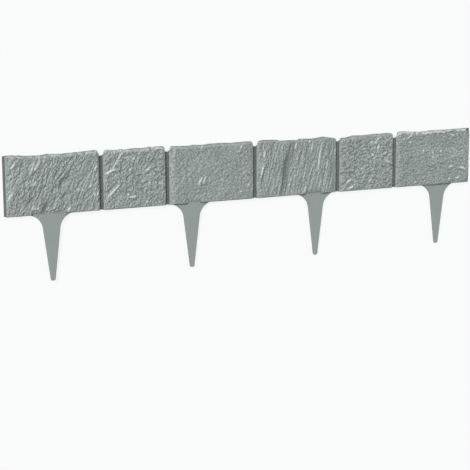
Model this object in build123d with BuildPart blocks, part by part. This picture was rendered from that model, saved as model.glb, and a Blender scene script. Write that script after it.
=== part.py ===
from build123d import *
from math import cos, radians, sin
import os

# A strip of plastic lawn edging that looks like a row of six split stones.
# It is moulded in one piece with an open, ribbed back and four flat ground spikes.
# It lies on its back: X runs along the strip, +Y points to the tops of the stones
# and +Z out of their faces. The origin is the middle of the space it takes, on the floor.

# Stones, from end to end
long_stone = 143.5         # from groove centre to groove centre
short_stone = 103.0
panel_height = 88.5        # bottom edge to the tallest stone
face_level = 10.5          # mean height of the stone faces over the back rim
relief = 1.5               # how far a crest stands over that level
ledge_depth = 2.6          # crest to foot of the deepest ledge
edge_roll = 3.2            # how far a face falls away along its top and bottom edge
edge_roll_width = 4.5

# Grooves between the stones
groove_width = 11.0        # over the bevels of its two stones
groove_slot_width = 6.6    # under the bevels
groove_floor_width = 5.2
groove_floor = 4.0         # height of a groove's floor over the back rim
bevel_depth = 2.6          # from the crest to the foot of a stone's side bevel
notch_depth = 7.2          # below the mean top of the stones
notch_floor_width = 3.6
mean_top_drop = 2.0

# Open back
skin = 2.2
rim_wall = 2.4
end_wall = 7.0             # solid land behind the half groove at each end
rib = 2.2
longest_cell = 72.0
channel_width = 14.0       # open channel behind a groove, between the side walls of two stones
cell_corner = 3.0

# Step cut out of the front at the top right corner
corner_step_width = 5.4
corner_step_height = 4.8
corner_step_floor = 4.5

# Ground spikes
spike_places = (-322.4, -104.7, 105.2, 328.6)
spike_length = 97.5
spike_root_width = 30.8
spike_tip_width = 6.4
spike_root_fillet = 19.5
spike_tip_fillet = 2.0
spike_front = 8.6          # height of the front of a spike over the back rim
spike_thickness = 3.0
spike_edge = 0.9           # bevel along the front edges
spike_rib = 2.6
spike_rib_end = 14.0       # from the tip to where the rib runs out

# Derived places
strip_length = 4 * long_stone + 2 * short_stone
half_length = strip_length / 2
overall_height = spike_length + panel_height
top_y = overall_height / 2
bottom_y = top_y - panel_height
crest = face_level + relief
foot = crest - ledge_depth
cell_floor = foot - skin
channel_floor = groove_floor - skin
middle_y = (bottom_y + top_y - mean_top_drop) / 2

# Each stone: its length, the direction its layers run in, how far its ledges are shifted
# across them, and its broken top edge as distances along it and drops below the tallest one
stones = (
    (long_stone, 57, 0.0,
     ((0, 2.8), (5, 1.9), (13, 1.8), (20, 3.9), (23, 2.1), (31, 4.4), (54, 4.6), (66, 2.8), (85, 3.7),
      (117, 2.4), (133, 1.2))),
    (short_stone, 38, 42.3,
     ((0, 1.9), (14, 1.8), (20, 2.8), (35, 2.3), (38, 5.0), (41, 2.8), (55, 1.8), (64, 2.5), (80, 0.8),
      (83, 3.6), (86, 1.4))),
    (long_stone, 24, 14.6,
     ((0, 1.6), (15, 2.4), (37, 3.2), (43, 2.1), (60, 3.0), (70, 1.9), (90, 1.6), (107, 2.3), (131, 1.6))),
    (long_stone, 76, 77.5,
     ((0, 2.8), (10, 1.4), (20, 1.0), (40, 1.8), (44, 3.7), (60, 3.6), (76, 3.9), (80, 2.3), (102, 3.2),
      (121, 1.1), (134, 3.2))),
    (short_stone, 49, 23.7,
     ((0, 4.8), (17, 4.8), (30, 2.0), (43, 2.7), (57, 2.2), (76, 1.3), (96, 1.4))),
    (long_stone, 14, 53.9,
     ((0, 1.8), (8, 0.6), (20, 0.0), (37, 1.8), (54, 1.2), (57, 4.5), (60, 1.9), (75, 1.1), (95, 1.4),
      (135, 0.6))),
)

# Uneven ledges of the split layers: width across the layers and height of the step
ledges = ((13.0, 1.8), (7.5, 0.9), (17.0, 2.6), (10.0, 1.4), (22.0, 2.2), (8.5, 1.1))
step_run = 1.6             # width that a step takes to drop
step_rest = 0.3            # share of a ledge's height that is left at the foot of its step

clearance = 1.0            # how far a cut reaches past what it cuts
near = 0.01                # distance within which two places count as one


def stone_starts():
    """Left end of each stone."""
    starts = [-half_length]
    for length, _, _, _ in stones[:-1]:
        starts.append(starts[-1] + length)
    return starts


def stone_outline(start, length, top_edge):
    """Front outline of one stone, from groove centre to groove centre."""
    along = [(start + place, top_y - drop) for place, drop in top_edge if place < length]
    corner = (start + length, along[-1][1])
    return along + [corner, (start + length, bottom_y), (start, bottom_y)]


def layer_profile(reach, shift):
    """Ledges across the layers, from beyond -reach to beyond +reach, with the ground below them."""
    place = -reach - shift
    points = [(place, 0), (place, foot)]
    while place < reach:
        for width, height in ledges:
            points.append((place + width, foot + height))
            points.append((place + width + step_run, foot + step_rest * height))
            place += width + step_run
    points.append((place, 0))
    return points


def riven_stone(start, length, angle, shift, top_edge):
    """One stone: its outline, cut by the ledges of its layers and by its rolled edges."""
    reach = length / 2 + panel_height / 2
    across = Vector(-sin(radians(angle)), cos(radians(angle)), 0)
    along = Vector(cos(radians(angle)), sin(radians(angle)), 0)
    centre = Vector(start + length / 2, middle_y, 0)
    with BuildPart() as stone:
        with BuildSketch(Plane.XY):
            with BuildLine():
                Polyline(*stone_outline(start, length, top_edge), close=True)
            make_face()
        extrude(amount=crest)
        with BuildSketch(Plane(origin=centre, x_dir=across, z_dir=along)):
            with BuildLine():
                Polyline(*layer_profile(reach, shift), close=True)
            make_face()
        extrude(amount=reach, both=True, mode=Mode.INTERSECT)
        with BuildSketch(Plane.YZ.offset(start)):
            with BuildLine():
                Polyline(
                    (bottom_y, 0),
                    (bottom_y, crest - edge_roll),
                    (bottom_y + edge_roll_width, crest),
                    (top_y - mean_top_drop - edge_roll_width, crest),
                    (top_y - mean_top_drop, crest - edge_roll),
                    (top_y, crest - edge_roll - relief),
                    (top_y, 0),
                    close=True,
                )
            make_face()
        extrude(amount=length, mode=Mode.INTERSECT)
    return stone.part


def rib_places():
    """Cross ribs: at each spike, and wherever a cell would be too long."""
    end_rib = half_length - end_wall + rib / 2
    walls = [-end_rib, end_rib]
    for groove in grooves:
        walls += [groove - channel_width / 2 - rib / 2, groove + channel_width / 2 + rib / 2]
    fixed = sorted(walls + list(spike_places))
    extra = []
    for left, right in zip(fixed, fixed[1:]):
        count = int((right - left) // longest_cell)
        extra += [left + (right - left) * (n + 1) / (count + 1) for n in range(count)]
    return sorted(fixed + extra)


starts = stone_starts()
grooves = starts[1:]
stone_parts = [
    riven_stone(start, length, angle, shift, top_edge)
    for start, (length, angle, shift, top_edge) in zip(starts, stones)
]


def groove_profile(place):
    """Section of a steep groove between the side bevels of two stones, open at the face."""
    return (
        (place - groove_floor_width / 2, groove_floor),
        (place + groove_floor_width / 2, groove_floor),
        (place + groove_slot_width / 2, crest - bevel_depth),
        (place + groove_width / 2, crest),
        (place + groove_width / 2, crest + clearance),
        (place - groove_width / 2, crest + clearance),
        (place - groove_width / 2, crest),
        (place - groove_slot_width / 2, crest - bevel_depth),
    )


def notch_outline(place):
    """Notch in the top edge where a groove runs out."""
    mean_top = top_y - mean_top_drop
    return (
        (place - notch_floor_width / 2, mean_top - notch_depth),
        (place + notch_floor_width / 2, mean_top - notch_depth),
        (place + groove_width / 2, mean_top),
        (place + groove_width / 2, top_y + clearance),
        (place - groove_width / 2, top_y + clearance),
        (place - groove_width / 2, mean_top),
    )


def spike_outline(place):
    """One flat spike with the strip of rim that it springs from."""
    spread = spike_root_width / 2 + spike_root_fillet
    return (
        (place - spread, bottom_y + rim_wall),
        (place - spread, bottom_y),
        (place - spike_root_width / 2, bottom_y),
        (place - spike_tip_width / 2, bottom_y - spike_length),
        (place + spike_tip_width / 2, bottom_y - spike_length),
        (place + spike_root_width / 2, bottom_y),
        (place + spread, bottom_y),
        (place + spread, bottom_y + rim_wall),
    )


def lowest_top(left, right):
    """Lowest point of the broken top edge between two places."""
    tops = [top_y - mean_top_drop]
    for start, (length, _, _, top_edge) in zip(starts, stones):
        tops += [top_y - drop for place, drop in top_edge if left < start + place < right]
    return min(tops)


def is_channel(left, right):
    """Whether a cell lies behind a groove."""
    middle = (left + right) / 2
    return any(abs(middle - groove) < channel_width / 4 for groove in grooves)


def cells(behind_grooves):
    """Cells of the open back, as centre and size: those behind stones or those behind grooves."""
    ribs = rib_places()
    for left, right in zip(ribs, ribs[1:]):
        if is_channel(left, right) != behind_grooves:
            continue
        top = lowest_top(left, right) - rim_wall
        if behind_grooves:
            top = top_y - mean_top_drop - notch_depth - rim_wall
        for low, high in ((bottom_y + rim_wall, middle_y - rib / 2), (middle_y + rib / 2, top)):
            yield (left + right) / 2, (low + high) / 2, right - left - rib, high - low


# flat spikes with bevelled front edges
with BuildPart() as spikes:
    with BuildSketch(Plane.XY.offset(spike_front - spike_thickness)) as spike_plan:
        for place in spike_places:
            with BuildLine():
                Polyline(*spike_outline(place), close=True)
            make_face()
        fillet(spike_plan.vertices().group_by(Axis.Y)[0], radius=spike_tip_fillet)
        roots = [
            corner
            for corner in spike_plan.vertices().filter_by_position(Axis.Y, bottom_y - near, bottom_y + near)
            if min(abs(abs(corner.X - place) - spike_root_width / 2) for place in spike_places) < near
        ]
        fillet(roots, radius=spike_root_fillet)
    extrude(amount=spike_thickness)
    chamfer(spikes.faces().group_by(Axis.Z)[-1].edges(), length=spike_edge)

with BuildPart() as edging_strip:
    for stone in stone_parts:
        add(stone)

    # grooves between the stones, and half of one at each end
    with BuildSketch(Plane.XZ.offset(-top_y)):
        for place in [-half_length] + grooves + [half_length]:
            with BuildLine():
                Polyline(*groove_profile(place), close=True)
            make_face()
    extrude(amount=panel_height, mode=Mode.SUBTRACT)

    # notches where the grooves run out through the top, and the step at the top right corner
    with BuildSketch(Plane.XY):
        for place in grooves:
            with BuildLine():
                Polyline(*notch_outline(place), close=True)
            make_face()
    extrude(amount=crest + clearance, mode=Mode.SUBTRACT)
    with BuildSketch(Plane.XY.offset(corner_step_floor)):
        with Locations((half_length, top_y)):
            Rectangle(2 * corner_step_width, 2 * corner_step_height)
    extrude(amount=crest, mode=Mode.SUBTRACT)

    # open back, deeper behind the stones than behind the grooves
    for behind_grooves, depth in ((False, cell_floor), (True, channel_floor)):
        with BuildSketch(Plane.XY):
            for x, y, width, height in cells(behind_grooves):
                with Locations((x, y)):
                    RectangleRounded(width, height, cell_corner)
        extrude(amount=depth, mode=Mode.SUBTRACT)

    add(spikes.part)

    # a rib behind each spike, from the rim to near its tip
    for place in spike_places:
        with BuildSketch(Plane.YZ.offset(place - spike_rib / 2)):
            with BuildLine():
                Polyline(
                    (bottom_y + rim_wall, 0),
                    (bottom_y, 0),
                    (bottom_y - spike_length + spike_rib_end, spike_front - spike_thickness),
                    (bottom_y + rim_wall, spike_front - spike_thickness),
                    close=True,
                )
            make_face()
        extrude(amount=spike_rib)

edging_strip.part.label = "edging_strip"
os.makedirs("parts", exist_ok=True)
export_step(edging_strip.part, "parts/edging_strip.step")
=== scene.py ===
from math import cos, pi, radians, sin

import bpy
import numpy as np
from mathutils import Matrix, Vector, noise


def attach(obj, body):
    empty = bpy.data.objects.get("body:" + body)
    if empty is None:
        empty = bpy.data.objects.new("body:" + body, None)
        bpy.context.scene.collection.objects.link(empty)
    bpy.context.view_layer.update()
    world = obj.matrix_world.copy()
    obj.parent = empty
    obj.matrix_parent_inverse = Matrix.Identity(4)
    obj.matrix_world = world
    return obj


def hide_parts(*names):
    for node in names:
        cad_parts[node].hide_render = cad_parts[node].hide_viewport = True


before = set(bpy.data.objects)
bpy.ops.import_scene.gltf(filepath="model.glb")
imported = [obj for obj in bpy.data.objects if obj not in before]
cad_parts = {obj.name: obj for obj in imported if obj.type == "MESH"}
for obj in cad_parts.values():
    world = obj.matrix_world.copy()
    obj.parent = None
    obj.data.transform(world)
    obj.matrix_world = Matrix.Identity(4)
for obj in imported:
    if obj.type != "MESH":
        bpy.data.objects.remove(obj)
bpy.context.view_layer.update()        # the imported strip, which this scene dresses

mm = 0.001               # every size below is in millimetres
print("frame loaded:", sorted(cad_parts))

# heights named h run up from the bottom edge of the panel, z stands out of the floor
panel = {
    "length": 780.0,
    "height": 88.5,
    "bottomY": 4.5,
    "faceLevel": 10.5,
    "crest": 12.0,
    "deepest": 8.4,          # no crack goes lower, the skin behind it stays whole
    "columns": 1000,
    "rows": 90,
    "rowCrowding": 0.25,     # rows stand closer near the top and bottom edge
    "grooveCrowding": 1.6,   # extra columns near the grooves
    "crowdingReach": 5.5,
    "foot": ((0, 9.7), (1.4, 10.9), (4.5, 12.0)),    # the face falls away above its bottom edge
    "brow": ((0, 8.7), (1.8, 10.6), (4.5, 12.0)),    # and below its top edge
    "edgeRound": 0.4,
    "edgeRoughness": 0.22,
    "edgeBreaks": (2.6, 1.3),    # lengths of the coarse and fine breaks along the top
    "smoothAngle": 55,
}

groove = {
    "places": (-246.5, -143.5, 0.0, 143.5, 246.5),
    "width": 11.0,
    "slotWidth": 6.6,        # under the bevels of the two stones
    "floorWidth": 5.2,
    "floor": 4.0,
    "bevelDepth": 2.6,
    "waver": 0.35,           # the stones' sides are not quite straight
    "lips": (2.8, 1.4),      # rounding where the left stone turns into a groove, and the right one
    "endShift": 1.2,         # the strip is cut a little off the middle of its end grooves
    "meanTop": 86.5,
    "notchDepth": 7.2,
    "notchFloor": 4.8,
    "notchSteepness": 2.6,   # 2 would bring a notch out at the groove's full width
    "notchRound": 0.8,
    # a notch widens and sinks towards the back: places across it on the front rim and on the back rim
    "flare": ((-14, -2.2, 1.4, 5.5, 14), (-14, -2.6, 6.4, 10.4, 14)),
    "flareDown": 2.0,
    "flareFade": (1.4, 4.0),
}

cornerStep = {"width": 9.2, "height": 4.3, "floor": 4.5}

# split layers, as in the solid: width across the layers and height of the step
ledges = {
    "steps": ((13.0, 1.8), (7.5, 0.9), (17.0, 2.6), (10.0, 1.4), (22.0, 2.2), (8.5, 1.1)),
    "run": 1.6,
    "rest": 0.3,
    "mean": 1.1,
}

# how the riven faces are made up, and where their plastic gets painted shade and painted highlight
relief = {
    "layerWave": (24, 15),       # lengths along and across the layers
    "grainWave": (17, 11),
    "patch": 16, "patchGain": 0.8,
    "ridgeRest": 0.45, "ridgeGain": 2, "swellGain": 1.5,
    "noiseGain": 1.6,
    "floorRound": 0.6,
    "paleRim": 0.4,              # painted highlight along the top rim
    "paleTopReach": 5,
    "palePatch": (5, 3), "palePatchGain": 1.6,
    # painted shade: hollows, cracks, groove floors and the face just above its foot are coloured darker
    "hollowScale": 0.2,
    "depthStart": 0.4, "depthReach": 4, "crackDepth": 0.8,
    "footShade": 1.8,
}

# strokes are (width, height, points): a raised one catches the light, a negative one is a crack
# chips are (x, h, size, height), falls (width, drop), strands (width, length, height)
# a top is (place from the stone's left side, drop under the panel's height)
# paleLeft and paleTop set how much painted highlight each stone's left side and top get
stones = (
    {
        "name": "leftLong", "start": -390.0, "length": 143.5, "angle": 57, "shift": 0.0,
        "ridged": 0.8, "leftFall": (8.0, 1.0), "rightFall": (6.0, 0.6),
        "paleLeft": (4.0, 0.1), "paleTop": 0.6,
        "grainAngle": 60, "ledgeGain": 0.5, "wave": 2.6,
        "strands": ((3.6, 20.0, 1.5), (2.0, 9.0, 1.05)),
        "facets": (9.0, 4.0, 1.0), "grains": (2.5, 0.95),
        "lumps": (22.0, 0.85),
        "top": ((0, 2.8), (5, 1.9), (13, 1.8), (20, 2.7), (23, 2.3), (31, 3.6), (54, 4.3), (66, 2.8),
                (85, 3.7), (117, 2.4), (133, 1.2)),
        "strokes": (
            (1.3, 1.5, ((-383, 68), (-378, 72), (-372, 79))),
            (1.1, 1.1, ((-386, 22), (-383, 30), (-377, 36))),
            (1.2, 1.4, ((-354, 60), (-349, 70), (-346, 77))),
            (1.2, 1.4, ((-346, 66), (-341, 74), (-337, 82))),
            (1.1, 1.1, ((-350, 42), (-346, 48))),
            (1.2, 1.2, ((-259, 61), (-255, 63), (-252, 68))),
            (1.1, 1.2, ((-259, 23), (-255, 27))),
            (1.0, 0.9, ((-255, 20), (-252, 28))),
            (1.0, 0.9, ((-266, 36), (-262, 39))),
            (1.0, 0.8, ((-352, 8), (-350, 12))),
            (1.0, 0.8, ((-348, 8), (-346, 12))),
            (1.0, 0.8, ((-344, 8), (-342, 12))),
            (1.0, 0.8, ((-300, 3), (-295, 8))),
            (3.4, -3.6, ((-337, 1), (-334, 8), (-331, 14), (-328, 20))),
            (2.3, -2.6, ((-310, 38), (-306, 46), (-303, 49), (-298, 52), (-295, 60), (-291, 68))),
            (1.8, -2.2, ((-358, 17), (-354, 22), (-350, 27))),
            (1.3, -1.4, ((-308, 22), (-301, 28))),
            (1.3, -1.4, ((-320, 20), (-317, 24))),
        ),
        "chips": (
            (-378, 72, 2.0, 0.9), (-356, 47, 1.8, 0.8), (-360, 47, 1.8, 0.6), (-283, 33, 2.0, 0.9),
            (-276, 32, 2.0, 0.8), (-272, 29, 2.0, 0.9), (-346, 67, 1.8, 0.7), (-385, 66, 1.8, -0.9),
            (-323, 54, 1.8, -0.7), (-368, 40, 2.0, -0.7), (-258, 24, 2.2, 0.8),
        ),
    },
    {
        "name": "leftShort", "start": -246.5, "length": 103.0, "angle": 38, "shift": 42.3,
        "ridged": 0.5, "leftFall": (5.0, 0.8), "rightFall": (5.0, 0.6),
        "paleLeft": (3.0, 0.08), "paleTop": 0.8,
        "grainAngle": 42, "ledgeGain": 0.3, "wave": 4.0,
        "strands": ((5.2, 8.5, 1.21), (2.7, 4.5, 0.97)),
        "facets": (7.5, 5.0, 1.3), "grains": (2.6, 1.0),
        "lumps": (18.0, 0.85),
        "top": ((0, 1.9), (14, 1.8), (20, 2.8), (35, 2.3), (38, 3.4), (41, 2.6), (55, 1.8), (64, 2.5),
                (80, 0.9), (83, 2.2), (86, 1.2)),
        "strokes": (
            (1.5, 1.9, ((-241, 53), (-236, 55), (-232, 57.5), (-223, 58.5))),
            (1.3, 1.6, ((-229, 60), (-226, 65), (-224, 68), (-222, 71), (-219, 77), (-217, 80),
                        (-212, 83), (-208, 86))),
            (1.2, 1.8, ((-240, 20), (-236, 21), (-228, 28), (-220, 35))),
            (1.3, 1.2, ((-209, 74), (-205, 75))),
            (1.2, 1.1, ((-204, 55), (-200, 59))),
            (1.1, 1.1, ((-179, 54), (-172, 58), (-170, 60))),
            (1.2, 1.1, ((-205, 16), (-197, 17))),
            (1.1, 0.8, ((-155, 32), (-150, 34))),
            (1.1, 0.9, ((-156, 19), (-151, 22))),
            (1.4, -1.4, ((-243, 25), (-236, 28), (-228, 35))),
            (1.4, -1.2, ((-226, 51), (-219, 55), (-216, 62))),
        ),
        "chips": (
            (-197, 73, 2.4, 0.9), (-238, 42, 2.2, 0.7), (-173, 36, 2.0, 0.8), (-197, 17, 2.0, 0.7),
            (-215, 81, 2.4, 0.8), (-207, 24, 2.4, -1.0), (-241, 23, 1.8, -0.8), (-229, 36, 2.0, -0.8),
            (-233, 69, 2.4, -0.6), (-166, 49, 2.4, 0.5), (-177, 8, 2.4, 0.6), (-206, 21, 1.8, 0.6),
        ),
    },
    {
        "name": "middleLeft", "start": -143.5, "length": 143.5, "angle": 24, "shift": 14.6,
        "ridged": 0.15, "leftFall": (6.0, 0.9), "rightFall": (5.0, 0.5),
        "paleLeft": (6.5, 0.16), "paleTop": 0.25,
        "grainAngle": 20, "ledgeGain": 0.05, "wave": 4.0,
        "strands": ((4.8, 5.6, 0.50), (2.6, 3.2, 0.42)),
        "facets": (4.8, 4.2, 0.55), "grains": (2.5, 0.52),
        "lumps": (20.0, 0.51),
        "top": ((0, 1.6), (15, 2.4), (37, 3.2), (43, 2.1), (60, 3.0), (70, 1.9), (90, 1.6), (107, 2.3),
                (131, 1.6)),
        "strokes": (
            (1.1, 1.2, ((-95, 28), (-89, 38))),
            (1.1, 1.2, ((-87, 31), (-82, 39))),
            (1.2, 1.2, ((-90, 82), (-87, 86))),
            (1.0, 0.9, ((-26, 78), (-22, 84))),
            (1.2, -1.2, ((-14, 37), (-10, 37), (-6, 35))),
            (1.2, -0.9, ((-48, 35), (-44, 38))),
        ),
        "chips": (
            (-137, 58, 2.0, 0.7), (-28, 74, 2.0, 0.7), (-12, 22, 2.0, 0.7), (-25, 13, 2.0, 0.6),
            (-105, 6, 2.0, -0.8), (-101, 11, 2.0, -0.7), (-84, 85, 1.8, -0.8), (-135, 68, 2.0, -0.7),
            (-48, 37, 2.0, -0.7), (-80, 87, 1.8, 0.5),
        ),
    },
    {
        "name": "middleRight", "start": 0.0, "length": 143.5, "angle": 76, "shift": 77.5,
        "ridged": 0.8, "leftFall": (5.0, 0.7), "rightFall": (14.0, 2.3),
        "paleLeft": (3.0, 0.05), "paleTop": 0.1,
        "grainAngle": 77, "ledgeGain": 0.35, "wave": 2.6,
        "strands": ((4.6, 30.0, 1.31), (2.3, 11.0, 0.70)),
        "facets": (10.0, 4.5, 0.75), "grains": (2.5, 0.68),
        "lumps": (24.0, 0.77),
        "top": ((0, 2.8), (10, 1.4), (20, 1.0), (40, 1.8), (44, 3.7), (60, 3.6), (76, 3.9), (80, 2.3),
                (102, 3.2), (121, 1.1), (127, 2.3), (134, 3.2), (143.5, 4.8)),
        "strokes": (
            (2.3, -1.4, ((10, 15), (11, 25), (13, 36), (16, 45), (19, 52))),
            (4.8, -2.2, ((43, 5), (47, 20), (49, 32), (51, 45), (54, 60), (57, 70), (60, 80))),
            (1.0, 0.9, ((14, 60), (15, 72))),
            (1.0, 0.9, ((10, 36), (13, 52))),
            (1.0, 0.9, ((68, 72), (70, 80))),
            (1.0, 0.8, ((91, 80), (93, 84))),
            (1.0, 1.1, ((82, 22), (83, 28), (86, 38))),
            (1.0, 0.8, ((95, 65), (98, 80))),
            (1.1, 0.9, ((107, 35), (110, 60), (113, 78))),
            (1.0, 0.8, ((122, 40), (125, 52))),
            (1.0, 0.9, ((82, 3), (86, 12))),
            (1.3, -1.2, ((106, 52), (108, 56))),
        ),
        "chips": (
            (34, 67, 2.0, 0.7), (68, 31, 2.0, 0.7), (61, 38, 2.0, 0.7), (57, 17, 2.0, 0.7),
            (114, 11, 2.0, -0.7), (113, 5, 2.0, -0.7), (98, 27, 2.0, -0.7), (76, 26, 2.0, -0.7),
            (60, 26, 2.0, 0.6), (66, 44, 2.0, 0.6), (72, 18, 2.0, 0.5),
        ),
    },
    {
        "name": "rightShort", "start": 143.5, "length": 103.0, "angle": 49, "shift": 23.7,
        "ridged": 0.3, "leftFall": (5.0, 0.8), "rightFall": (5.0, 0.5),
        "paleLeft": (3.0, 0.05), "paleTop": 0.25,
        "grainAngle": 13, "ledgeGain": 0.05, "wave": 3.5,
        "strands": ((3.8, 7.0, 1.7), (2.2, 4.4, 1.15)),
        "facets": (6.5, 4.5, 1.4), "grains": (2.6, 1.1),
        "lumps": (18.0, 0.77),
        "top": ((0, 4.8), (17, 4.8), (30, 2.0), (43, 2.7), (57, 2.2), (76, 1.3), (81, 2.1), (84, 1.4),
                (96, 1.4), (103, 3.0)),
        "strokes": (
            (1.2, 1.4, ((213, 63), (217, 69))),
            (1.3, 1.5, ((209, 74), (213, 79), (217, 82))),
            (1.1, 1.1, ((202, 75), (206, 76))),
            (1.1, 1.1, ((227, 57), (230, 58))),
            (1.1, 1.1, ((238, 53), (240, 55))),
            (1.6, -1.2, ((229, 40), (238, 38))),
            (1.4, 1.4, ((229, 44), (238, 42))),
            (1.1, 0.9, ((186, 65), (190, 66))),
            (1.1, 1.1, ((184, 32), (187, 36))),
            (1.1, 0.9, ((198, 15), (203, 15))),
            (1.2, 1.2, ((160, 3), (168, 7), (172, 9))),
            (1.1, 0.9, ((174, 14), (178, 15))),
            (1.2, 1.1, ((160, 15), (169, 20))),
        ),
        "chips": (
            (205, 56, 2.2, 0.9), (185, 45, 2.0, 0.8), (196, 5, 2.2, 0.8), (199, 60, 2.2, -0.8),
            (199, 50, 2.0, -0.7), (205, 27, 2.2, -0.8), (205, 18, 2.0, -0.7), (203, 6, 2.0, -0.7),
            (154, 62, 2.2, -0.7), (220, 73, 2.0, -0.7), (190, 35, 2.0, -0.7),
        ),
    },
    {
        "name": "rightLong", "start": 246.5, "length": 143.5, "angle": 14, "shift": 53.9,
        "ridged": 0.7, "leftFall": (5.0, 0.9), "rightFall": (5.0, 0.4),
        "paleLeft": (3.0, 0.08), "paleTop": 1.7,
        "grainAngle": -9, "ledgeGain": 0.15, "wave": 4.5,
        "strands": ((3.3, 14.0, 1.05), (2.0, 6.5, 0.73)),
        "facets": (8.0, 4.0, 0.95), "grains": (2.5, 0.72),
        "lumps": (20.0, 0.59),
        "top": ((0, 1.8), (8, 0.6), (20, 0.0), (37, 1.8), (39, 3.0), (41, 1.1), (52, 2.8), (54, 1.2),
                (57, 4.5), (60, 1.9), (75, 1.1), (95, 1.4), (135, 0.6)),
        "strokes": (
            (1.3, 1.4, ((270, 78), (275, 82), (280, 86))),
            (1.2, -1.4, ((350, 86), (357, 84), (362, 82))),
            (1.3, 1.2, ((349, 28), (358, 28))),
            (1.3, 1.2, ((370, 26), (375, 25), (380, 22))),
            (1.3, -1.1, ((368, 23), (374, 21), (380, 19))),
            (1.2, 1.1, ((273, 71), (277, 72))),
            (1.2, 1.2, ((362, 8), (368, 9))),
            (1.3, -1.2, ((330, 83), (337, 81))),
            (1.2, 1.2, ((300, 85), (306, 86))),
            (1.2, -1.2, ((304, 82), (309, 82))),
            (1.1, 0.9, ((352, 80), (358, 79))),
            (1.1, -0.9, ((346, 85), (356, 84))),
        ),
        "chips": (
            (299, 57, 2.0, 0.8), (317, 53, 2.2, 0.8), (332, 54, 2.0, 0.9), (330, 57, 1.8, -0.6),
            (318, 45, 2.4, 0.7), (285, 7, 2.0, 0.8), (286, 11, 1.8, -0.7), (262, 77, 2.0, 0.7),
            (350, 8, 2.2, 0.8), (260, 17, 2.0, -0.7), (270, 12, 2.0, -0.7), (358, 31, 2.4, -0.9),
            (372, 21, 1.8, -0.6), (360, 62, 2.2, -0.8), (363, 52, 1.8, 0.8), (303, 85, 2.2, 1.2),
        ),
    },
)

# where a stone's foot runs down into a spike: middle, half width and height of the ramp
aprons = {
    "places": ((-325.0, 24.0, 9.0), (-100.0, 9.0, 9.0), (101.0, 12.0, 9.0)),
    "edge": 8.2, "fade": 4.0, "lip": 2.4,
}

lightSide = Vector((-0.84, 0.54))      # the photo's key light comes from this side


def softMin(a, b, k):
    share = np.clip(0.5 + 0.5 * (b - a) / k, 0, 1)
    return b + (a - b) * share - k * share * (1 - share)


def smoothStep(value):
    value = np.clip(value, 0, 1)
    return value * value * (3 - 2 * value)


def noiseOver(a, b, seed):
    return np.array([noise.noise(Vector((p, q, seed))) for p, q in zip(a.tolist(), b.tolist())])


def facetsOver(a, b, seed):
    # each cell is a small plane with a tilt and a level of its own
    heights = []
    for p, q in zip(a.tolist(), b.tolist()):
        spot = Vector((p, q, seed))
        middle = noise.voronoi(spot)[1][0]
        tilt = noise.cell_vector(middle * 31.7)
        slopeX, slopeY, level = tilt.x - 0.5, tilt.y - 0.5, 0.5 * (tilt.z - 0.5)
        heights.append((p - middle.x) * slopeX + (q - middle.y) * slopeY + level)
    return np.array(heights) * 2


def topEdge(x):
    height = np.full_like(x, panel["height"])
    for stone in stones:
        here = (x >= stone["start"]) & (x <= stone["start"] + stone["length"])
        places, drops = zip(*stone["top"])
        height[here] -= np.interp(x[here] - stone["start"], places, drops)
    coarse, fine = panel["edgeBreaks"]
    height += panel["edgeRoughness"] * (noiseOver(x / coarse, x * 0, 3.1) + noiseOver(x / fine, x * 0, 8.4))
    slope = groove["notchDepth"] / (groove["width"] - groove["notchFloor"]) * groove["notchSteepness"]
    for place in groove["places"]:
        away = np.maximum(np.abs(x - place) - groove["notchFloor"] / 2, 0)
        notch = groove["meanTop"] - groove["notchDepth"] + slope * away
        height = softMin(height, notch, groove["notchRound"])
    return np.minimum(height, panel["height"])


def ledgeHeight(v):
    places, heights = [0.0], [ledges["rest"] * ledges["steps"][-1][1]]
    for width, height in ledges["steps"]:
        places += [places[-1] + width, places[-1] + width + ledges["run"]]
        heights += [height, ledges["rest"] * height]
    return np.interp(np.mod(v, places[-1]), places, heights)


def strokeOver(x, h, points, width):
    # steep on the light side of the line, slow on the other, fading towards both ends
    chord = Vector(points[-1]) - Vector(points[0])
    side = 1 if Vector((-chord.y, chord.x)).dot(lightSide) > 0 else -1
    spans = [(Vector(b) - Vector(a)).length for a, b in zip(points, points[1:])]
    nearest, signed, along, done = np.full_like(x, 1e9), np.zeros_like(x), np.zeros_like(x), 0
    for (ax, ah), (bx, bh), span in zip(points, points[1:], spans):
        ex, eh = (bx - ax) / span, (bh - ah) / span
        s = np.clip((x - ax) * ex + (h - ah) * eh, 0, span)
        dx, dh = x - ax - s * ex, h - ah - s * eh
        distance = np.hypot(dx, dh)
        closer = distance < nearest
        nearest = np.where(closer, distance, nearest)
        signed = np.where(closer, distance * np.where(ex * dh - eh * dx >= 0, side, -side), signed)
        along = np.where(closer, done + s, along)
        done += span
    ends = np.sin(pi * np.clip(along / done, 0.08, 0.92)) ** 0.6
    steep = np.clip(1 - signed / width, 0, 1)
    slow = np.exp(np.minimum(signed, 0) / (2.2 * width))
    reach = smoothStep(2.5 - nearest / (1.6 * width))
    shape = np.where(signed > 0, smoothStep(steep), slow) * ends * reach
    return shape, np.exp(-(nearest / width) ** 2) * ends


def turned(x, h, angle):
    turn = radians(angle)
    return x * cos(turn) + h * sin(turn), h * cos(turn) - x * sin(turn)


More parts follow.
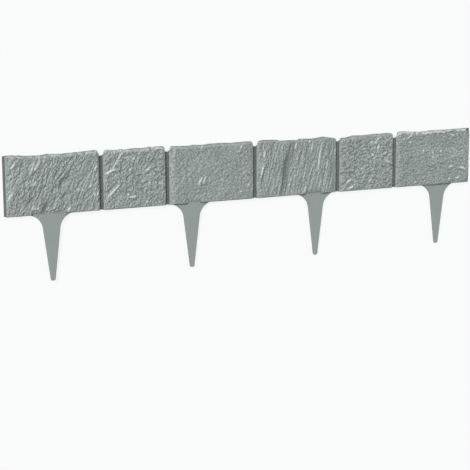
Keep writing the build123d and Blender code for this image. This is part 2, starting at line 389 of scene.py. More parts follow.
def stoneRelief(stone, x, h, seed):
    fromMiddle, fromHalf = x - stone["start"] - stone["length"] / 2, h - groove["meanTop"] / 2
    u, v = turned(fromMiddle, fromHalf, stone["angle"])
    along, across = relief["layerWave"]
    v = v + stone["wave"] * noiseOver(u / along, v / across, seed)
    reach = (stone["length"] + panel["height"]) / 2
    z = stone["ledgeGain"] * (ledgeHeight(v + reach + stone["shift"]) - ledges["mean"])
    # broken strands of the grain, stronger in some patches than in others
    u, v = turned(fromMiddle, fromHalf, stone["grainAngle"])
    along, across = relief["grainWave"]
    v = v + stone["wave"] * noiseOver(u / along, v / across, seed + 4)
    patch = 1 + relief["patchGain"] * noiseOver(x / relief["patch"], h / relief["patch"], seed + 7)
    for number, (width, length, height) in enumerate(stone["strands"]):
        swell = noiseOver(u / length, v / width, seed + 10 + number)
        ridge = stone["ridged"] * (relief["ridgeRest"] - relief["ridgeGain"] * np.abs(swell))
        z += patch * height * (ridge + relief["swellGain"] * (1 - stone["ridged"]) * swell)
    length, width, height = stone["facets"]
    z += height * facetsOver(u / length, v / width, seed + 20)
    for kind, apart in (("grains", 25), ("lumps", 30)):
        size, height = stone[kind]
        z += height * noiseOver(x / size, h / size, seed + apart) * relief["noiseGain"]
    # painted highlight: the left side and the top are coloured lighter, where the light from the upper left
    # falls on them
    fromLeft, fromTop = x - stone["start"] - groove["width"] / 2, topEdge(x) - h
    width, gain = stone["paleLeft"]
    wear = gain * smoothStep(1 - (fromLeft - 1) / width)
    patchX, patchH = relief["palePatch"]
    patchy = smoothStep(0.5 + relief["palePatchGain"] * noiseOver(x / patchX, h / patchH, seed + 33))
    wear += stone["paleTop"] * smoothStep(1 - fromTop / relief["paleTopReach"]) * patchy
    wear += relief["paleRim"] * smoothStep(1 - fromTop)
    crack = np.zeros_like(x)
    for width, height, points in stone["strokes"]:
        shape, line = strokeOver(x, h, points, width)
        z += height * shape
        # raised strokes get a painted highlight along them, cracks a painted shade
        if height > 0:
            wear = np.maximum(wear, line * min(1, height))
        else:
            crack = np.maximum(crack, line * min(1, -height / 2))
    for chipX, chipH, size, height in stone["chips"]:
        distance = np.hypot((x - chipX) - 0.4 * size, (h - chipH) + 0.3 * size)
        z += height * np.clip(1 - distance / size, 0, 1)
        if height > 0:
            spot = np.exp(-(np.hypot(x - chipX, h - chipH) / (0.7 * size)) ** 2)
            wear = np.maximum(wear, spot * min(1, height))
    return z, wear, crack


def grooveSection(away):
    half, halfSlot, halfFloor = groove["width"] / 2, groove["slotWidth"] / 2, groove["floorWidth"] / 2
    places = (0, halfFloor - 0.8, halfFloor, halfSlot, half, half + 1)
    heights = (groove["floor"], groove["floor"], groove["floor"] + 0.8, panel["crest"] - groove["bevelDepth"],
               panel["crest"], panel["crest"] + 1.2)
    return np.interp(away, places, heights)


def faceHeight(x, h, top):
    z, wear, crack = np.zeros_like(x), np.zeros_like(x), np.zeros_like(x)
    for number, stone in enumerate(stones):
        here = (x >= stone["start"]) & (x < stone["start"] + stone["length"] + 0.01)
        z[here], wear[here], crack[here] = stoneRelief(stone, x[here], h[here], 40.0 * number + 5.3)
    above, below = panel["crest"] - panel["faceLevel"], panel["faceLevel"] - panel["deepest"]
    z = panel["faceLevel"] + np.where(z > 0, above * np.tanh(z / above), below * np.tanh(z / below))
    # both sides of a stone fall away before its bevels begin
    for stone in stones:
        start = stone["start"] + groove["width"] / 2
        end = stone["start"] + stone["length"] - groove["width"] / 2
        inside = (x > start - groove["width"] / 2) & (x < end + groove["width"] / 2)
        for away, (width, drop) in ((x - start, stone["leftFall"]), (end - x, stone["rightFall"])):
            z -= inside * drop * smoothStep(1 - away / width)
    z = -softMin(-z, np.full_like(z, -panel["deepest"]), relief["floorRound"])
    # rolled long edges
    for distance, roll in ((h, panel["foot"]), (top - h, panel["brow"])):
        z = softMin(z, np.interp(distance, *zip(*roll)), panel["edgeRound"])
    # ramps down to the spikes
    for place, halfWidth, rise in aprons["places"]:
        weight = smoothStep(1 - (np.abs(x - place) - halfWidth) / aprons["fade"])
        z = z + (aprons["edge"] - panel["faceLevel"]) * weight * smoothStep(1 - h / rise)
        z = z + (aprons["edge"] - z) * weight * smoothStep(1.5 - h / aprons["lip"])
    # grooves, and half of one at each end
    end = panel["length"] / 2
    for place in (-end - groove["endShift"], *groove["places"], end + groove["endShift"]):
        near = np.abs(x - place) < groove["width"]
        away = np.abs(x[near] - place) + groove["waver"] * noiseOver(h[near] / 6, x[near] / 30, place)
        lip = np.where(x[near] < place, *groove["lips"])
        z[near] = softMin(z[near], grooveSection(away), lip)
        # no painted highlight inside the grooves
        wear[near] *= smoothStep((away - 2) / 4)
    corner = (x > panel["length"] / 2 - cornerStep["width"]) & (h > panel["height"] - cornerStep["height"])
    z[corner] = cornerStep["floor"]
    return z, wear, crack


def selectNone():
    for thing in bpy.context.selected_objects:
        thing.select_set(False)


def onlyActive(thing):
    selectNone()
    thing.select_set(True)
    bpy.context.view_layer.objects.active = thing


def editing(mode="VERT"):
    bpy.ops.object.mode_set(mode="EDIT")
    bpy.ops.mesh.select_mode(type=mode)
    bpy.ops.mesh.select_all(action="DESELECT")


def pick(thing, kind, test):
    # selects in edit mode by place or normal
    bpy.ops.object.mode_set(mode="OBJECT")
    kinds = ("vertices", "edges", "polygons")
    bpy.context.tool_settings.mesh_select_mode = [kind == each for each in kinds]
    for each in kinds:
        parts = getattr(thing.data, each)
        parts.foreach_set("select", [False] * len(parts))
    for part in getattr(thing.data, kind):
        part.select = test(part)
    bpy.ops.object.mode_set(mode="EDIT")


def atOrigin(thing):
    onlyActive(thing)
    bpy.ops.object.transform_apply(location=True, rotation=True, scale=True)


def meshPoints(thing):
    co = np.zeros(len(thing.data.vertices) * 3)
    thing.data.vertices.foreach_get("co", co)
    return co.reshape(-1, 3)


def setMeshPoints(thing, co):
    thing.data.vertices.foreach_set("co", co.astype(np.float32).ravel())
    thing.data.update()


def onApron(x):
    return np.any([np.abs(x - place) < halfWidth for place, halfWidth, _ in aprons["places"]], axis=0)


def columnPlaces(share):
    # spreads the grid's columns so that they stand closer near the grooves and ends
    half = panel["length"] / 2
    x = np.linspace(-half, half, 10 * int(panel["length"]) + 1)
    density = np.ones_like(x)
    for place in (-half, *groove["places"], half):
        density += panel["grooveCrowding"] * np.exp(-(((x - place) / panel["crowdingReach"]) ** 4))
    done = np.concatenate(([0], np.cumsum((density[1:] + density[:-1]) / 2)))
    return np.interp(share, done / done[-1], x)


def buildFace():
    selectNone()
    bpy.ops.mesh.primitive_grid_add(x_subdivisions=panel["columns"], y_subdivisions=panel["rows"], size=1)
    face = bpy.context.object
    face.name = "edgingStrip"
    co = meshPoints(face)
    x = columnPlaces(co[:, 0] + 0.5)
    row = co[:, 1] + 0.5
    share = row - panel["rowCrowding"] * np.sin(2 * pi * row) / (2 * pi)
    places, which = np.unique(np.round(x, 4), return_inverse=True)
    top = topEdge(places)[which]
    h = share * top
    z, wear, crack = faceHeight(x, h, top)
    setMeshPoints(face, np.stack([x, h + panel["bottomY"], z], 1) * mm)
    # how far each point lies in a hollow or stands on a ridge: painted shade goes into hollows, cracks and
    # along the foot, painted highlight onto crests
    order = np.lexsort((x, row))
    board = z[order].reshape(len(np.unique(np.round(row, 5))), -1)
    smooth = board
    for _ in range(3):
        edged = np.pad(smooth, 1, mode="edge")
        smooth = (edged[:-2, 1:-1] + edged[2:, 1:-1] + edged[1:-1, :-2] + edged[1:-1, 2:] + 4 * smooth) / 8
    hollow = np.zeros_like(z)
    hollow[order] = (smooth - board).ravel()
    # painted shade on groove floors and along cracks
    shadowLevel = panel["deepest"] + relief["depthStart"]
    depth = np.maximum(smoothStep((shadowLevel - z) / relief["depthReach"]), relief["crackDepth"] * crack)
    # painted shade along the face's foot, except where it runs into an apron
    foot = smoothStep(1 - h / relief["footShade"]) * ~onApron(x)
    hollow = np.clip(hollow / relief["hollowScale"] + crack + foot, -1, 1)
    for name, values in (("wear", wear), ("hollow", hollow), ("depth", depth)):
        layer = face.data.attributes.new(name, "FLOAT", "POINT")
        layer.data.foreach_set("value", values.astype(np.float32))
    return face


strip = buildFace()
print("stone faces shaped:", len(strip.data.vertices), "points")


back = {
    "endWall": 7.0, "rimWall": 2.4, "rib": 2.2, "longestCell": 72.0, "channelWidth": 14.0,
    "cornerRadius": 3.0, "cellFloor": 7.2, "channelFloor": 1.8, "middle": 43.25, "draft": 0.985,
}

spike = {
    "places": (-322.4, -104.7, 105.2, 328.6),
    "length": 97.5, "rootWidth": 30.8, "tipWidth": 6.4,
    "rootFillet": 22.5, "tipFillet": 2.0,
    "filletRun": 0.882,      # how far a root fillet of radius 1 runs from its corner
    "ears": 0.9,             # how far the plate reaches along the panel, by the same radius
    "front": 8.1, "thickness": 2.5, "edge": 0.9,
    "rib": 2.6, "ribEnd": 14.0, "ribBack": 0.3, "ribOverlap": 0.6,
    "shoulder": 1.8, "shoulderSlope": 1.2, "sink": 0.7,      # the step down under the panel's foot
}


def ribPlaces():
    end = panel["length"] / 2 - back["endWall"] + back["rib"] / 2
    walls = [-end, end]
    for place in groove["places"]:
        side = (back["channelWidth"] + back["rib"]) / 2
        walls += [place - side, place + side]
    fixed = sorted(walls + list(spike["places"]))
    extra = []
    for left, right in zip(fixed, fixed[1:]):
        count = int((right - left) // back["longestCell"])
        extra += [left + (right - left) * (n + 1) / (count + 1) for n in range(count)]
    return sorted(fixed + extra)


def lowestTop(left, right):
    tops = [groove["meanTop"]]
    for stone in stones:
        for place, drop in stone["top"]:
            if left < stone["start"] + place < right:
                tops.append(panel["height"] - drop)
    return min(tops)


def cellSizes():
    # left, right, low, high and depth of every cell between the ribs
    ribs, lowest = ribPlaces(), back["rimWall"]
    notchFloor = groove["meanTop"] - groove["notchDepth"] - groove["flareDown"]
    for left, right in zip(ribs, ribs[1:]):
        middle = (left + right) / 2
        channel = any(abs(middle - place) < back["channelWidth"] / 4 for place in groove["places"])
        depth = back["channelFloor"] if channel else back["cellFloor"]
        top = (notchFloor if channel else lowestTop(left, right)) - back["rimWall"]
        yield left, right, lowest, back["middle"] - back["rib"] / 2, depth
        yield left, right, back["middle"] + back["rib"] / 2, top, depth


def buildCells():
    # starts from an empty mesh, and adds each cell as a rounded box that is open at the floor
    selectNone()
    bpy.ops.mesh.primitive_plane_add(size=1 * mm)
    cells = bpy.context.object
    cells.name = "cells"
    editing("FACE")
    bpy.ops.mesh.select_all(action="SELECT")
    bpy.ops.mesh.delete(type="VERT")
    for left, right, low, high, depth in cellSizes():
        centre = Vector(((left + right) / 2, panel["bottomY"] + (low + high) / 2, 0)) * mm
        lift = Vector((0, 0, depth * mm))
        bpy.ops.mesh.primitive_plane_add(size=1 * mm, location=centre)
        bpy.ops.transform.resize(value=(right - left - back["rib"], high - low, 1), center_override=centre)
        bpy.ops.mesh.bevel(offset=back["cornerRadius"] * mm, segments=4, affect="VERTICES")
        bpy.ops.mesh.extrude_region_move(TRANSFORM_OT_translate={"value": lift})
        bpy.ops.transform.resize(value=(back["draft"], back["draft"], 1), center_override=centre + lift)
        bpy.ops.mesh.select_all(action="DESELECT")
    pick(cells, "polygons", lambda polygon: polygon.center.z < 0.05 * mm)
    bpy.ops.mesh.delete(type="ONLY_FACE")
    bpy.ops.object.mode_set(mode="OBJECT")
    return cells


def closeBack(face, cells):
    onlyActive(face)
    editing("EDGE")
    bpy.ops.mesh.select_non_manifold(extend=False)
    bpy.ops.mesh.extrude_edges_move(TRANSFORM_OT_translate={"value": (0, 0, -2 * mm)})
    bpy.ops.transform.resize(value=(1, 1, 0), center_override=(0, 0, 0))
    bpy.ops.object.mode_set(mode="OBJECT")
    # the notches widen towards the back
    co = meshPoints(face) / mm
    floorY = panel["bottomY"] + groove["meanTop"] - groove["notchDepth"]
    reach = groove["flare"][0][-1]
    start, run = groove["flareFade"]
    for place in groove["places"]:
        away = co[:, 0] - place
        rim = (co[:, 2] < 0.01) & (np.abs(away) < reach) & (co[:, 1] > floorY - 1)
        co[rim, 0] = place + np.interp(away[rim], *groove["flare"])
        co[rim, 1] -= groove["flareDown"] * smoothStep(start - np.abs(away[rim]) / run)
    setMeshPoints(face, co * mm)
    cells.select_set(True)
    bpy.ops.object.join()
    editing("EDGE")
    bpy.ops.mesh.select_non_manifold(extend=False)
    bpy.ops.mesh.fill(use_beauty=True)
    bpy.ops.mesh.select_all(action="SELECT")
    bpy.ops.mesh.remove_doubles(threshold=0.002 * mm)
    bpy.ops.mesh.normals_make_consistent(inside=False)
    bpy.ops.object.mode_set(mode="OBJECT")


cells = buildCells()
closeBack(strip, cells)
print("back closed:", len(strip.data.polygons), "faces")


def buildSpike(place):
    # a flat outline with eight corners, its root corners and tip rounded, then thickened and bevelled
    bottom, low = panel["bottomY"], spike["front"] - spike["thickness"]
    tipY, inPanel = bottom - spike["length"], bottom + back["rimWall"] * 0.9
    halfRoot, halfTip = spike["rootWidth"] / 2, spike["tipWidth"] / 2
    spread = halfRoot + spike["ears"] * spike["rootFillet"]
    outline = (
        (spread, bottom), (spread, inPanel), (-spread, inPanel), (-spread, bottom),
        (-halfRoot, bottom), (-halfTip, tipY), (halfTip, tipY), (halfRoot, bottom),
    )

    def atRoot(vertex):
        x, y, _ = vertex.co
        return abs(y - bottom * mm) < 0.1 * mm and abs(x - place * mm) < spike["rootWidth"] * 0.6 * mm

    def onFront(edge):
        return min(plate.data.vertices[n].co.z for n in edge.vertices) > (spike["front"] - 0.1) * mm

    selectNone()
    bpy.ops.mesh.primitive_circle_add(vertices=8, radius=10 * mm, fill_type="NGON")
    plate = bpy.context.object
    setMeshPoints(plate, np.array([(place + x, y, low) for x, y in outline]) * mm)
    pick(plate, "vertices", atRoot)
    rootRun = spike["rootFillet"] * spike["filletRun"] * mm
    bpy.ops.mesh.bevel(offset=rootRun, segments=14, affect="VERTICES", profile=0.5)
    pick(plate, "vertices", lambda vertex: vertex.co.y < (tipY + 0.1) * mm)
    bpy.ops.mesh.bevel(offset=spike["tipFillet"] * mm, segments=5, affect="VERTICES")
    bpy.ops.mesh.select_all(action="SELECT")
    bpy.ops.mesh.extrude_region_move(TRANSFORM_OT_translate={"value": (0, 0, spike["thickness"] * mm)})
    bpy.ops.mesh.select_all(action="SELECT")
    bpy.ops.mesh.normals_make_consistent(inside=False)
    pick(plate, "edges", onFront)
    bpy.ops.mesh.bevel(offset=spike["edge"] * mm, segments=3, affect="EDGES")
    bpy.ops.object.mode_set(mode="OBJECT")
    sinkShoulders(plate, place)
    # stiffening rib behind the plate
    selectNone()
    bpy.ops.mesh.primitive_cube_add(size=1)
    rib = bpy.context.object
    co = meshPoints(rib)
    behind, near = co[:, 2] < 0, co[:, 1] > 0
    y = np.where(near, bottom + back["rimWall"] * 0.8, np.where(behind, bottom, tipY + spike["ribEnd"]))
    z = np.where(behind, spike["ribBack"], low + spike["ribOverlap"])
    setMeshPoints(rib, np.stack([place + co[:, 0] * spike["rib"], y, z], 1) * mm)
    onlyActive(plate)
    joinSolid(plate, rib)
    return plate


def sinkShoulders(plate, place):
    # the plate lies lower right under the panel's foot, but not where an apron runs into it
    middle, half = place, 0.0
    for apronMiddle, halfWidth, _ in aprons["places"]:
        if abs(apronMiddle - place) < spike["rootWidth"]:
            middle, half = apronMiddle, halfWidth
    foot, width = panel["bottomY"], spike["shoulderSlope"]
    cuts = [((0, foot - spike["shoulder"] - step, 0), (0, 1, 0)) for step in (0, width)]
    if half:
        sides = [(side, step) for side in (-1, 1) for step in (0, width)]
        cuts += [((middle + side * (half + step), 0, 0), (1, 0, 0)) for side, step in sides]
    editing()
    for at, along in cuts:
        bpy.ops.mesh.select_all(action="SELECT")
        bpy.ops.mesh.bisect(plane_co=Vector(at) * mm, plane_no=along)
    bpy.ops.object.mode_set(mode="OBJECT")
    co = meshPoints(plate) / mm
    low = spike["front"] - spike["thickness"]
    share = np.clip((co[:, 1] - foot + spike["shoulder"] + width) / width, 0, 1)
    if half:
        share *= np.clip((np.abs(co[:, 0] - middle) - half) / width, 0, 1)
    co[:, 2] = low + (co[:, 2] - low) * (1 - spike["sink"] * share)
    setMeshPoints(plate, co * mm)


def joinSolid(thing, other):
    # one closed skin from two overlapping solids
    onlyActive(thing)
    bpy.ops.object.modifier_add(type="BOOLEAN")
    union = thing.modifiers[-1]
    union.operation, union.solver, union.object = "UNION", "EXACT", other
    bpy.ops.object.modifier_apply(modifier=union.name)
    bpy.data.objects.remove(other)


spikes = [buildSpike(place) for place in spike["places"]]
onlyActive(spikes[0])
for other in spikes[1:]:
    other.select_set(True)
bpy.ops.object.join()
joinSolid(strip, spikes[0])
onlyActive(strip)
bpy.ops.object.shade_smooth_by_angle(angle=radians(panel["smoothAngle"]))
bpy.ops.object.modifier_add(type="WEIGHTED_NORMAL")      # keeps the broad flats of the spikes flat
strip.modifiers[-1].keep_sharp = True
bpy.ops.object.modifier_apply(modifier=strip.modifiers[-1].name)
print("spikes fused:", len(strip.data.polygons), "faces")


plastic = {
    "base": (0.236, 0.273, 0.262),
    "smooth": (0.268, 0.306, 0.294),
    "light": (0.33, 0.375, 0.36),
    # the dark colour serves the pigment's flecks and the painted shade in hollows
    "dark": (0.18, 0.212, 0.202),
    # the pale colour of the painted highlights
    "highlighted": (0.57, 0.62, 0.605),
    # the colour of the painted shade on groove floors and in cracks
    "deepShade": (0.117, 0.137, 0.132),
    "specular": 0.5,
    "glossSpread": 0.07,
    # the riven finish takes what faces up at all, and the upright rim near the top
    "facesUp": 0.05, "facesTop": 0.5, "rimReach": 8,
}


def newNode(tree, kind, place, **settings):
    node = tree.nodes.new(kind)
    node.location = place
    for name, value in settings.items():
        setattr(node, name, value)
    return node


def grainGroup():
    # fine moulded texture: a spark-eroded grain with small pits, as a height
    group = bpy.data.node_groups.new("mouldGrain", "ShaderNodeTree")
    sockets = group.interface
    sockets.new_socket(name="Vector", in_out="INPUT", socket_type="NodeSocketVector")
    sockets.new_socket(name="Grain Size", in_out="INPUT", socket_type="NodeSocketFloat")
    sockets.new_socket(name="Pit Share", in_out="INPUT", socket_type="NodeSocketFloat")
    sockets.new_socket(name="Height", in_out="OUTPUT", socket_type="NodeSocketFloat")
    start = newNode(group, "NodeGroupInput", (-700, 0))
    end = newNode(group, "NodeGroupOutput", (500, 0))
    perMetre = newNode(group, "ShaderNodeMath", (-520, -120), operation="DIVIDE")
    perMetre.inputs[0].default_value = 1.0
    fine = newNode(group, "ShaderNodeTexNoise", (-320, 120))
    fine.inputs["Detail"].default_value = 3.0
    fine.inputs["Roughness"].default_value = 0.6
    pits = newNode(group, "ShaderNodeTexVoronoi", (-320, -160))
    pitEdge = newNode(group, "ShaderNodeMapRange", (-120, -160))
    pitEdge.inputs["From Min"].default_value = 0.05
    pitEdge.inputs["From Max"].default_value = 0.35
    mixed = newNode(group, "ShaderNodeMix", (200, 0))
    link = group.links.new
    link(start.outputs["Grain Size"], perMetre.inputs[1])
    link(start.outputs["Vector"], fine.inputs["Vector"])
    link(start.outputs["Vector"], pits.inputs["Vector"])
    link(perMetre.outputs[0], fine.inputs["Scale"])
    link(perMetre.outputs[0], pits.inputs["Scale"])
    link(pits.outputs["Distance"], pitEdge.inputs["Value"])
    link(start.outputs["Pit Share"], mixed.inputs[0])
    link(fine.outputs["Fac"], mixed.inputs[2])
    link(pitEdge.outputs[0], mixed.inputs[3])
    link(mixed.outputs[0], end.inputs["Height"])
    return group


def toneGroup():
    # slow cloudiness of the pigment and fine flecks of recycled plastic, as a colour
    group = bpy.data.node_groups.new("pigmentTone", "ShaderNodeTree")
    sockets = group.interface
    sockets.new_socket(name="Vector", in_out="INPUT", socket_type="NodeSocketVector")
    for name in ("Base", "Light", "Dark"):
        sockets.new_socket(name=name, in_out="INPUT", socket_type="NodeSocketColor")
    sockets.new_socket(name="Cloudiness", in_out="INPUT", socket_type="NodeSocketFloat")
    sockets.new_socket(name="Color", in_out="OUTPUT", socket_type="NodeSocketColor")
    start = newNode(group, "NodeGroupInput", (-800, 0))
    end = newNode(group, "NodeGroupOutput", (600, 0))
    cloud = newNode(group, "ShaderNodeTexNoise", (-600, 160))
    cloud.inputs["Scale"].default_value = 28.0
    cloud.inputs["Detail"].default_value = 4.0
    fleck = newNode(group, "ShaderNodeTexNoise", (-600, -160))
    fleck.inputs["Scale"].default_value = 620.0
    fleck.inputs["Detail"].default_value = 2.0
    cloudShare = newNode(group, "ShaderNodeMapRange", (-380, 160))
    cloudShare.inputs["From Min"].default_value = 0.42
    cloudShare.inputs["From Max"].default_value = 0.7
    fleckShare = newNode(group, "ShaderNodeMapRange", (-380, -160))
    fleckShare.inputs["From Min"].default_value = 0.56
    fleckShare.inputs["From Max"].default_value = 0.8
    scaledCloud = newNode(group, "ShaderNodeMath", (-180, 160), operation="MULTIPLY")
    scaledFleck = newNode(group, "ShaderNodeMath", (-180, -160), operation="MULTIPLY")
    lighter = newNode(group, "ShaderNodeMix", (60, 60), data_type="RGBA")
    darker = newNode(group, "ShaderNodeMix", (300, 0), data_type="RGBA")
    link = group.links.new
    for texture in (cloud, fleck):
        link(start.outputs["Vector"], texture.inputs["Vector"])
    link(cloud.outputs["Fac"], cloudShare.inputs["Value"])
    link(fleck.outputs["Fac"], fleckShare.inputs["Value"])
    link(cloudShare.outputs[0], scaledCloud.inputs[0])
    link(fleckShare.outputs[0], scaledFleck.inputs[0])
    link(start.outputs["Cloudiness"], scaledCloud.inputs[1])
    link(start.outputs["Cloudiness"], scaledFleck.inputs[1])
    link(scaledCloud.outputs[0], lighter.inputs["Factor"])
    link(start.outputs["Base"], lighter.inputs[6])
    link(start.outputs["Light"], lighter.inputs[7])
    link(scaledFleck.outputs[0], darker.inputs["Factor"])
    link(lighter.outputs[2], darker.inputs[6])
    link(start.outputs["Dark"], darker.inputs[7])
    link(darker.outputs[2], end.inputs["Color"])
    return group


def opaque(color):
    return (*color, 1.0)


def newPlastic(name, grain, tone, look):
    material = bpy.data.materials.new(name)
    material.use_nodes = True
    tree = material.node_tree
    link = tree.links.new
    shader = tree.nodes["Principled BSDF"]
    shader.inputs["Specular IOR Level"].default_value = plastic["specular"]
    place = newNode(tree, "ShaderNodeTexCoord", (-1400, 0))
    colour = newNode(tree, "ShaderNodeGroup", (-1100, 200), node_tree=tone)
    for socket, value in (("Light", "light"), ("Dark", "dark")):
        colour.inputs[socket].default_value = opaque(plastic[value])
    colour.inputs["Base"].default_value = opaque(plastic[look["base"]])
    colour.inputs["Cloudiness"].default_value = look["cloudiness"]
    link(place.outputs["Object"], colour.inputs["Vector"])
    last = colour.outputs["Color"]
    if look["relief"]:
        # painted highlight on crests and painted shade in hollows, cracks, along the foot and on groove
        # floors
        hollow = newNode(tree, "ShaderNodeAttribute", (-1100, 500), attribute_name="hollow")
        hollowShadeShare = newNode(tree, "ShaderNodeMapRange", (-880, 500))
        hollowShadeShare.inputs["To Max"].default_value = look["hollowShade"]
        crestHighlightShare = newNode(tree, "ShaderNodeMapRange", (-880, 1180))
        crestHighlightShare.inputs["From Max"].default_value = -1.0
        crestHighlightShare.inputs["To Max"].default_value = look["crestHighlight"]
        highlightShare = newNode(tree, "ShaderNodeMath", (-540, 1000), operation="ADD", use_clamp=True)
        # painted shade in hollows, cracks and along the foot
        darker = newNode(tree, "ShaderNodeMix", (-640, 300), data_type="RGBA")
        darker.inputs[7].default_value = opaque(plastic["dark"])
        # painted shade on groove floors and along cracks
        depth = newNode(tree, "ShaderNodeAttribute", (-880, 640), attribute_name="depth")
        deepShadeShare = newNode(tree, "ShaderNodeMath", (-700, 640), operation="MULTIPLY")
        deepShadeShare.inputs[1].default_value = look["deepShadeGain"]
        deepShaded = newNode(tree, "ShaderNodeMix", (-520, 420), data_type="RGBA")
        deepShaded.inputs[7].default_value = opaque(plastic["deepShade"])
        # painted highlight on the left sides, the top, raised strokes and chips
        wear = newNode(tree, "ShaderNodeAttribute", (-1100, 760), attribute_name="wear")
        patchy = newNode(tree, "ShaderNodeTexNoise", (-1100, 980))
        patchy.inputs["Scale"].default_value = 450.0
        patchyHighlight = newNode(tree, "ShaderNodeMath", (-880, 800), operation="MULTIPLY")
        highlightGain = newNode(tree, "ShaderNodeMath", (-700, 800), operation="MULTIPLY")
        highlightGain.inputs[1].default_value = look["wear"]
        highlighted = newNode(tree, "ShaderNodeMix", (-400, 300), data_type="RGBA")
        highlighted.inputs[7].default_value = opaque(plastic["highlighted"])
        link(hollow.outputs["Fac"], hollowShadeShare.inputs["Value"])
        link(hollowShadeShare.outputs[0], darker.inputs["Factor"])
        link(last, darker.inputs[6])
        link(place.outputs["Object"], patchy.inputs["Vector"])
        link(wear.outputs["Fac"], patchyHighlight.inputs[0])
        link(patchy.outputs["Fac"], patchyHighlight.inputs[1])
        link(patchyHighlight.outputs[0], highlightGain.inputs[0])
        link(hollow.outputs["Fac"], crestHighlightShare.inputs["Value"])
        link(highlightGain.outputs[0], highlightShare.inputs[0])
        link(crestHighlightShare.outputs[0], highlightShare.inputs[1])
        link(highlightShare.outputs[0], highlighted.inputs["Factor"])
        link(depth.outputs["Fac"], deepShadeShare.inputs[0])
        link(deepShadeShare.outputs[0], deepShaded.inputs["Factor"])
        link(darker.outputs[2], deepShaded.inputs[6])
        link(deepShaded.outputs[2], highlighted.inputs[6])
        last = highlighted.outputs[2]
    link(last, shader.inputs["Base Color"])
    height = newNode(tree, "ShaderNodeGroup", (-1100, -200), node_tree=grain)
    height.inputs["Grain Size"].default_value = look["grainSize"] * mm
    height.inputs["Pit Share"].default_value = look["pits"]
    link(place.outputs["Object"], height.inputs["Vector"])
    bump = newNode(tree, "ShaderNodeBump", (-500, -300))
    bump.inputs["Strength"].default_value = look["bump"]
    bump.inputs["Distance"].default_value = look["bumpDepth"] * mm
    link(height.outputs["Height"], bump.inputs["Height"])
    link(bump.outputs["Normal"], shader.inputs["Normal"])
    gloss = newNode(tree, "ShaderNodeMapRange", (-500, -60))
    gloss.inputs["To Min"].default_value = look["roughness"] - plastic["glossSpread"]
    gloss.inputs["To Max"].default_value = look["roughness"] + plastic["glossSpread"]
    link(height.outputs["Height"], gloss.inputs["Value"])
    link(gloss.outputs[0], shader.inputs["Roughness"])
    return material


# the riven look paints shade into hollows and groove floors and highlight onto crests, ridges, left sides and
# the top
stoneLook = {
    "base": "base", "cloudiness": 0.55,
    "relief": True, "hollowShade": 0.9, "crestHighlight": 0.36, "deepShadeGain": 1.0, "wear": 2.1,
    "grainSize": 1.1, "pits": 0.35, "bump": 0.7, "bumpDepth": 0.25, "roughness": 0.48,
}
smoothLook = {
    "base": "smooth", "cloudiness": 0.16, "relief": False,
    "grainSize": 0.6, "pits": 0.1, "bump": 0.35, "bumpDepth": 0.06, "roughness": 0.48,
}

grain, tone = grainGroup(), toneGroup()
strip.data.materials.clear()
strip.data.materials.append(newPlastic("rivenStonePlastic", grain, tone, stoneLook))
strip.data.materials.append(newPlastic("smoothPlastic", grain, tone, smoothLook))
footY, grooveZ = panel["bottomY"] * mm, (groove["floor"] - 0.5) * mm
rimY = (panel["bottomY"] + panel["height"] - plastic["rimReach"]) * mm
for polygon in strip.data.polygons:
    normal, centre = polygon.normal, polygon.center
    onFace = normal.z > plastic["facesUp"] and centre.y > footY and centre.z > grooveZ
    onRim = normal.y > plastic["facesTop"] and centre.y > rimY
    polygon.material_index = 0 if onFace or onRim else 1
print("plastic mixed:", [material.name for material in strip.data.materials])

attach(strip, "root")
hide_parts("edging_strip")


studio = {
    "floorSize": 12.0,
    "floorColor": (0.93, 0.942, 0.945),
    "floorDark": (0.30, 0.30, 0.30),     # what the object sees of the floor
    "backdrop": (0.955, 0.962, 0.966),
    "backdropShare": 0.9,
    "keyTo": (-0.58, 0.39, 0.715),        # direction the key light comes from
    "keyStrength": 2.64,
    "keyAngle": 16.0,
    "skyTop": 0.57,
    "skySide": 0.12,
}

selectNone()
bpy.ops.mesh.primitive_plane_add(size=studio["floorSize"], location=(0, 0, -0.0002))
floor = bpy.context.object
floor.name = "floor"
atOrigin(floor)
paleFloor = bpy.data.materials.new("paleFloor")
paleFloor.use_nodes = True
floorTree = paleFloor.node_tree
floorLink = floorTree.links.new
shadowed = floorTree.nodes["Principled BSDF"]
shadowed.inputs["Base Color"].default_value = opaque(studio["floorColor"])
shadowed.inputs["Roughness"].default_value = 0.9
shadowed.inputs["Specular IOR Level"].default_value = 0.1
backdrop = newNode(floorTree, "ShaderNodeEmission", (-200, -300))
backdrop.inputs["Color"].default_value = opaque(studio["backdrop"])
seenFloor = newNode(floorTree, "ShaderNodeMixShader", (200, -200))
seenFloor.inputs[0].default_value = studio["backdropShare"]
dimFloor = newNode(floorTree, "ShaderNodeBsdfDiffuse", (200, 300))
dimFloor.inputs["Color"].default_value = opaque(studio["floorDark"])
floorPath = newNode(floorTree, "ShaderNodeLightPath", (200, 700))
floorMix = newNode(floorTree, "ShaderNodeMixShader", (450, 100))
floorLink(shadowed.outputs[0], seenFloor.inputs[1])
floorLink(backdrop.outputs[0], seenFloor.inputs[2])
floorLink(floorPath.outputs["Is Camera Ray"], floorMix.inputs[0])
floorLink(dimFloor.outputs[0], floorMix.inputs[1])
floorLink(seenFloor.outputs[0], floorMix.inputs[2])
floorLink(floorMix.outputs[0], floorTree.nodes["Material Output"].inputs["Surface"])
floor.data.materials.append(paleFloor)

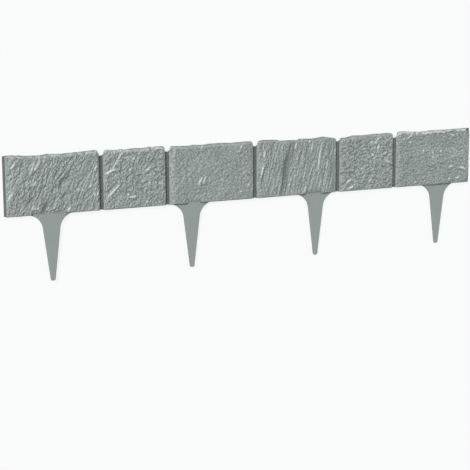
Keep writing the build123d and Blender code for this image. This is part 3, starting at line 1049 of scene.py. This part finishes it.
bpy.ops.object.light_add(type="SUN", location=Vector(studio["keyTo"]) * 3)
key = bpy.context.object
key.name = "keyLight"
key.data.energy = studio["keyStrength"]
key.data.angle = radians(studio["keyAngle"])
key.rotation_mode = "QUATERNION"
key.rotation_quaternion = Vector(studio["keyTo"]).to_track_quat("Z", "Y")

world = bpy.data.worlds.new("softStudio")
bpy.context.scene.world = world
world.use_nodes = True
worldTree = world.node_tree
worldLink = worldTree.links.new
sky = worldTree.nodes["Background"]
skyPlace = newNode(worldTree, "ShaderNodeTexCoord", (-900, 0))
skyHeight = newNode(worldTree, "ShaderNodeSeparateXYZ", (-700, 0))
skyFade = newNode(worldTree, "ShaderNodeMapRange", (-500, 0))      # bright overhead, dim at the sides
skyFade.inputs["To Min"].default_value = studio["skySide"]
skyFade.inputs["To Max"].default_value = studio["skyTop"]
seen = newNode(worldTree, "ShaderNodeBackground", (-200, -200))
seen.inputs["Color"].default_value = opaque(studio["backdrop"])
path = newNode(worldTree, "ShaderNodeLightPath", (-400, 300))
mixSky = newNode(worldTree, "ShaderNodeMixShader", (100, 100))
worldLink(skyPlace.outputs["Generated"], skyHeight.inputs[0])
worldLink(skyHeight.outputs["Z"], skyFade.inputs["Value"])
worldLink(skyFade.outputs[0], sky.inputs["Color"])
worldLink(path.outputs["Is Camera Ray"], mixSky.inputs[0])
worldLink(sky.outputs[0], mixSky.inputs[1])
worldLink(seen.outputs[0], mixSky.inputs[2])
worldLink(mixSky.outputs[0], worldTree.nodes["World Output"].inputs["Surface"])

# the strip lies on its back, so the photo's camera looks down on it
camera = {
    "place": (-0.88656, 0.33122, 1.85341),
    "right": (0.90742838, -0.0044713, 0.42018299),
    "up": (0.08141561, 0.98286594, -0.1653664),
    "back": (-0.41224414, 0.18426761, 0.89224448),
    "lens": 103.97,
}
bpy.ops.object.camera_add()
eye = bpy.context.object
eye.name = "photoCamera"
eye.matrix_world = Matrix.Translation(camera["place"]) @ Matrix(
    (camera["right"], camera["up"], camera["back"])
).transposed().to_4x4()
eye.data.sensor_width = 36.0
eye.data.lens = camera["lens"]
eye.data.clip_start, eye.data.clip_end = 0.01, 50.0
bpy.context.scene.camera = eye
bpy.context.scene.view_settings.view_transform = "Standard"
print("stage set")
